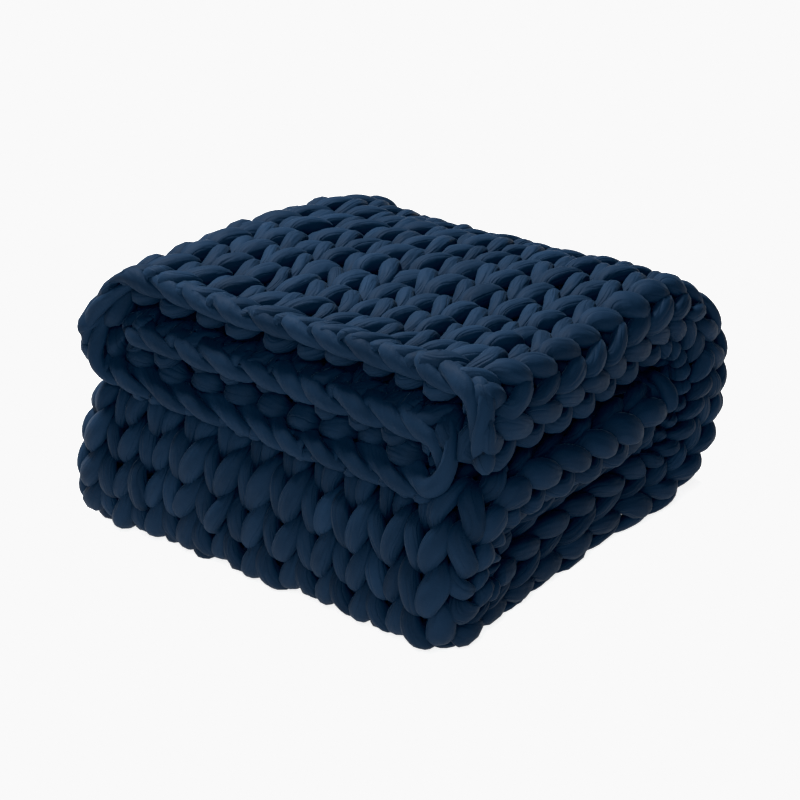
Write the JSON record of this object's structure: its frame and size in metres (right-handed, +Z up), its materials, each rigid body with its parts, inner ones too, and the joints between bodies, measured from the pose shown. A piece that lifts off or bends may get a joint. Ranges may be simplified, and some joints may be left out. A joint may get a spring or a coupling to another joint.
{
  "type": "folded chunky knit weighted blanket",
  "caption": "Thick hand-knit weighted blanket of navy jersey yarn, folded in thirds both ways into a soft rectangular bundle with its chain edge in front.",
  "frame": {"origin": "centre of the bounding box on the plane of the flat underside", "axes": "+X from the open chain edge towards the closed right turn, +Y across the strip towards the far side fold, +Z up"},
  "size_m": [0.3536, 0.3796, 0.2273],
  "materials": {
    "navy_jersey_yarn": "matte stretch jersey tube yarn, faint lengthwise creases"
  },
  "bodies": {
    "root": {"knit_blanket": "navy_jersey_yarn"}
  },
  "joints": []
}
